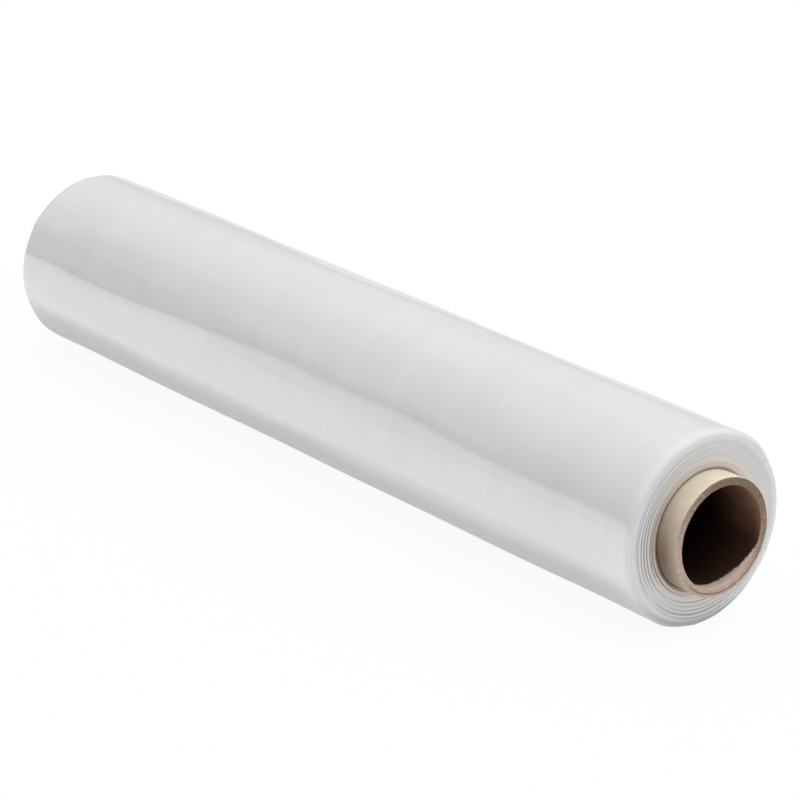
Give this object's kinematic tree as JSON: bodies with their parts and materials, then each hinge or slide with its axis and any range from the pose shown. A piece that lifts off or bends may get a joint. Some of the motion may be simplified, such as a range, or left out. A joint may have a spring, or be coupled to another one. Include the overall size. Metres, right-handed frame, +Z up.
{
  "type": "stretch wrap roll",
  "caption": "Roll of clear stretch film wound on a paperboard core that stands out at both ends, lying on its side.",
  "frame": {"origin": "under the middle of the roll, on the surface that its flat spot lies on", "axes": "+X along the core, towards the end that the picture shows; +Z up; +Y to the back of the roll, where the free end of the film is"},
  "size_m": [0.522, 0.0972, 0.0966],
  "materials": {
    "film": "gloss",
    "paperboard": "matte"
  },
  "bodies": {
    "root": {"wound_film": "film", "core_tube": "paperboard"}
  },
  "joints": []
}
